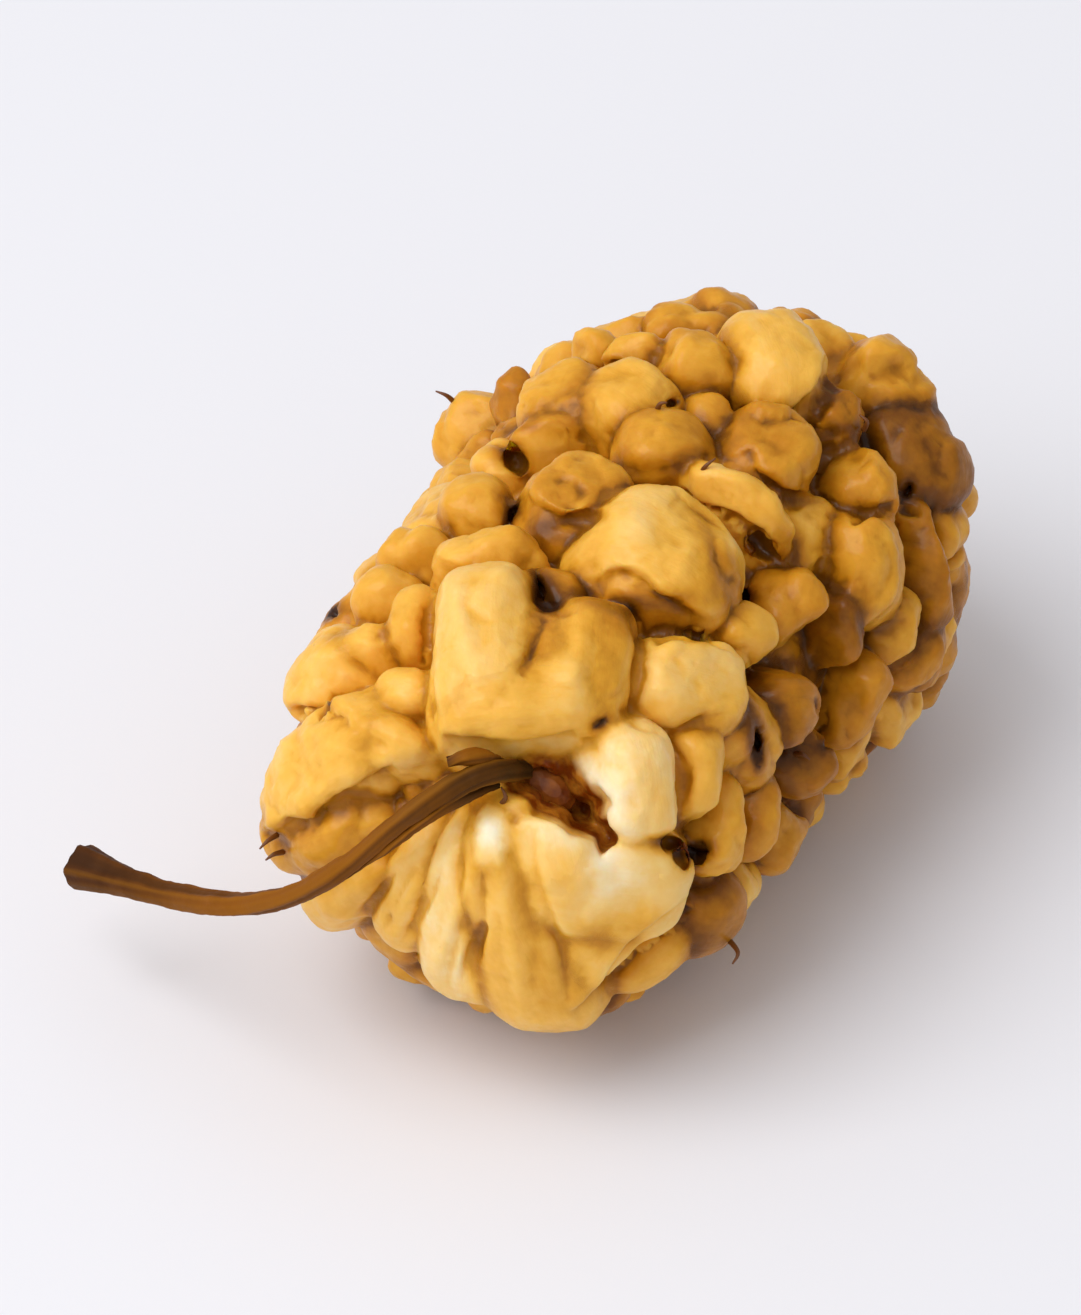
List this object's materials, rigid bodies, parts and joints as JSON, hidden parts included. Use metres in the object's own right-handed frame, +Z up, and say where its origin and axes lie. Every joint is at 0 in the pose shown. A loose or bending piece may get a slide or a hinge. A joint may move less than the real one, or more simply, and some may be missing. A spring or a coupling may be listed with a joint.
{
  "type": "dried mulberry",
  "caption": "Dried white mulberry lying on its side: knobbly golden lobes round one axis, a thin bent brown stalk, and a seed showing in a torn lobe.",
  "frame": {"origin": "on the surface that the berry lies on, under the middle of its whole box, stalk included", "axes": "+Y from the stalk end to the tip, +Z up, +X to the right as seen from the stalk end"},
  "size_m": [0.012, 0.0166, 0.0094],
  "materials": {
    "dried_flesh": "satin",
    "dried_stalk": "matte",
    "seed_coat": "satin"
  },
  "bodies": {
    "root": {"fruit": "dried_flesh", "stem": "dried_stalk", "seed": "seed_coat"}
  },
  "joints": []
}
